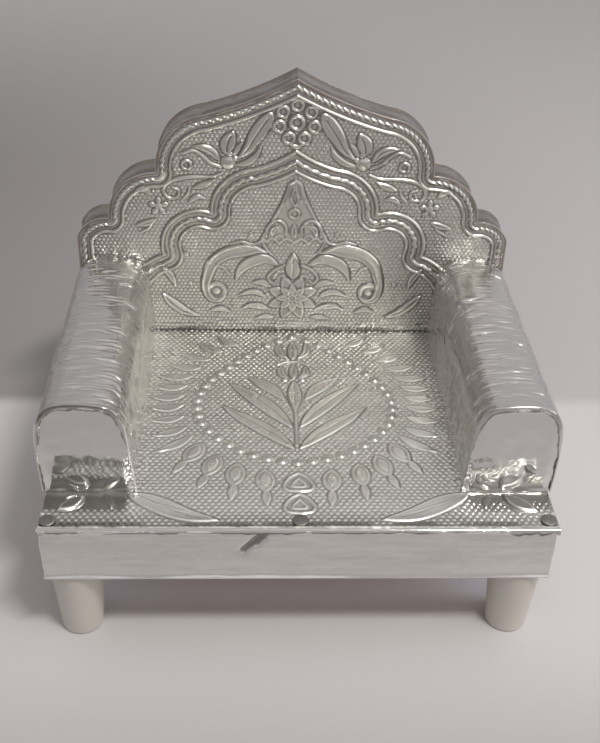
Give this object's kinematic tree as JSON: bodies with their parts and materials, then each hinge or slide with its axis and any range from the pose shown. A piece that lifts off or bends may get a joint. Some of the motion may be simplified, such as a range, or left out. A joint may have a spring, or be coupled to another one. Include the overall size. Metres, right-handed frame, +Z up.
{
  "type": "deity throne",
  "caption": "Small shrine throne: cusped ogee backrest and loaf-shaped arms on a board seat, clad in embossed silver-coloured sheet, on short tapered plastic legs.",
  "frame": {"origin": "on the floor, under the centre of the whole throne", "axes": "+X to the right as seen from the front, +Y from the front edge to the backrest, +Z up"},
  "size_m": [0.153, 0.1196, 0.1402],
  "materials": {
    "board_wood": "raw sawn board",
    "embossed_sheet": "bright thin sheet, embossed",
    "plain_sheet": "bright thin sheet, slightly dented",
    "crinkled_sheet": "bright thin sheet, wrapped and crinkled",
    "leg_plastic": "moulded, off-white",
    "fixing_steel": "plated, dulled"
  },
  "bodies": {
    "root": {"seat_board": "board_wood", "arm_block_left": "board_wood", "arm_block_right": "board_wood", "back_board": "board_wood", "seat_sheet": "embossed_sheet", "back_sheet": "embossed_sheet", "base_band": "plain_sheet", "arm_front_left": "plain_sheet", "arm_front_right": "plain_sheet", "back_edge_band": "plain_sheet", "back_rear_sheet": "plain_sheet", "arm_cover_left": "crinkled_sheet", "arm_cover_right": "crinkled_sheet", "legs_front": "leg_plastic", "legs_rear": "leg_plastic", "leg_screws": "fixing_steel", "arm_screws": "fixing_steel", "front_nails": "fixing_steel", "rear_nails": "fixing_steel"}
  },
  "joints": []
}
